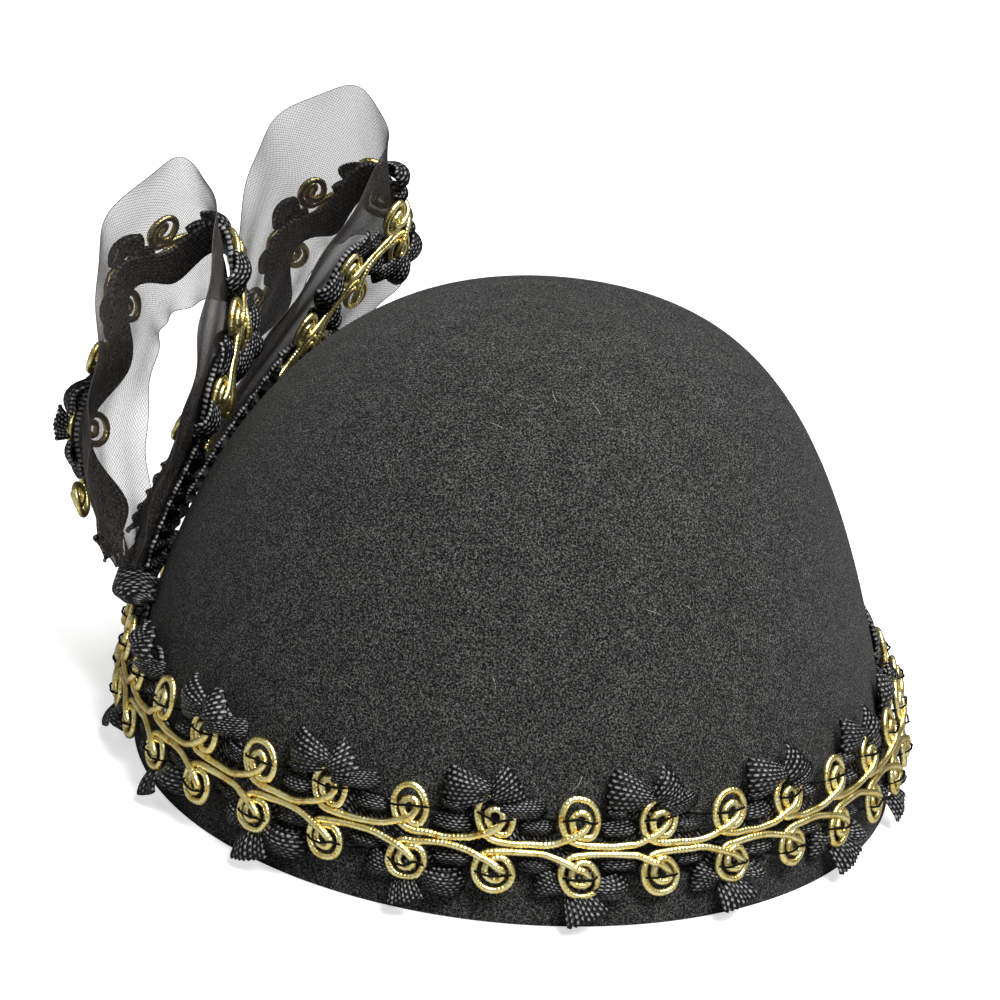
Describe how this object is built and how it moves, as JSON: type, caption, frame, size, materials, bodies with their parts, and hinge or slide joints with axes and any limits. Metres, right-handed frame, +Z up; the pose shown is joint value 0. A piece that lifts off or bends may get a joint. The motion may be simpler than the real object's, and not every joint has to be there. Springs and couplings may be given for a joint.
{
  "type": "fascinator",
  "caption": "Small domed felt hat with a gold cord and ribbon bow trim round its rim and two standing crinoline loops on one side.",
  "frame": {"origin": "centre of the crown's open rim, in the plane that the rim rests on", "axes": "+Z up out of the top of the crown, -Y towards the front, +Y along the crown's length, and the two loops stand on the -X side"},
  "size_m": [0.1825, 0.1904, 0.1273],
  "materials": {
    "crown": "matte wool felt",
    "rim_ribbon": "ribbed ribbon",
    "rim_gold_upper": "metallic thread",
    "rim_gold_lower": "metallic thread",
    "loop_tie": "ribbed ribbon",
    "loop_front_band": "sheer mesh",
    "loop_front_ribbon": "ribbed ribbon",
    "loop_front_gold_upper": "metallic thread",
    "loop_front_gold_lower": "metallic thread",
    "loop_rear_band": "sheer mesh",
    "loop_rear_ribbon": "ribbed ribbon",
    "loop_rear_gold_upper": "metallic thread",
    "loop_rear_gold_lower": "metallic thread"
  },
  "bodies": {
    "root": {"crown": "crown", "rim_ribbon": "rim_ribbon", "rim_gold_upper": "rim_gold_upper", "rim_gold_lower": "rim_gold_lower", "loop_tie": "loop_tie", "loop_front_band": "loop_front_band", "loop_front_ribbon": "loop_front_ribbon", "loop_front_gold_upper": "loop_front_gold_upper", "loop_front_gold_lower": "loop_front_gold_lower", "loop_rear_band": "loop_rear_band", "loop_rear_ribbon": "loop_rear_ribbon", "loop_rear_gold_upper": "loop_rear_gold_upper", "loop_rear_gold_lower": "loop_rear_gold_lower"}
  },
  "joints": []
}
